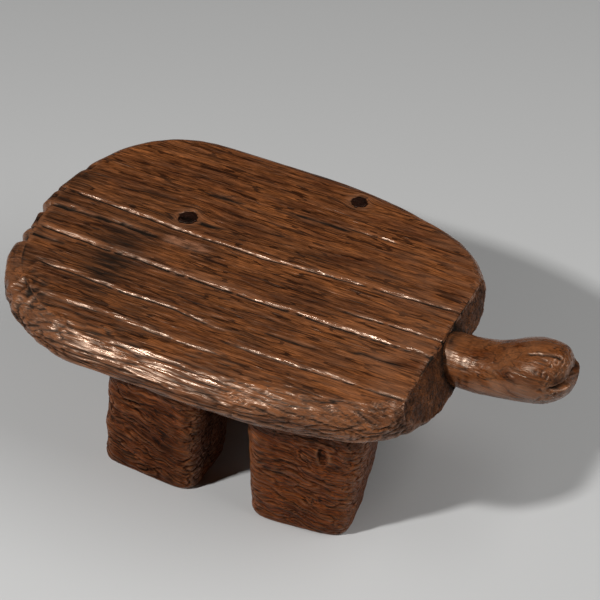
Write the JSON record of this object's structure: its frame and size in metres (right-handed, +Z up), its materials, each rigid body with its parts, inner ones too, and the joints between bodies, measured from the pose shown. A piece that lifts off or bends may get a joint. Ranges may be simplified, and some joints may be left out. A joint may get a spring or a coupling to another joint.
{
  "type": "animal stool",
  "caption": "Low carved hardwood stool in the shape of a turtle: a thick rounded slab with a flat, cracked top, block legs and a blunt head standing out of the front edge.",
  "frame": {"origin": "on the floor, under the middle of the whole length and width", "axes": "+X from the tail end to the head, +Y to the animal's left side, +Z up"},
  "size_m": [0.572, 0.33, 0.2281],
  "materials": {
    "carved_hardwood": "dark red-brown hardwood, hewn, cracked along the grain, worn to a waxy shine",
    "polished_hardwood": "the same hardwood, rubbed smoother and a little lighter by handling",
    "knot_wood": "nearly black end grain of a knot"
  },
  "bodies": {
    "root": {"seat": "carved_hardwood", "front_left_leg": "carved_hardwood", "front_right_leg": "carved_hardwood", "rear_left_leg": "carved_hardwood", "rear_right_leg": "carved_hardwood", "neck_and_head": "polished_hardwood", "back_knot": "knot_wood", "rim_knot": "knot_wood"}
  },
  "joints": []
}
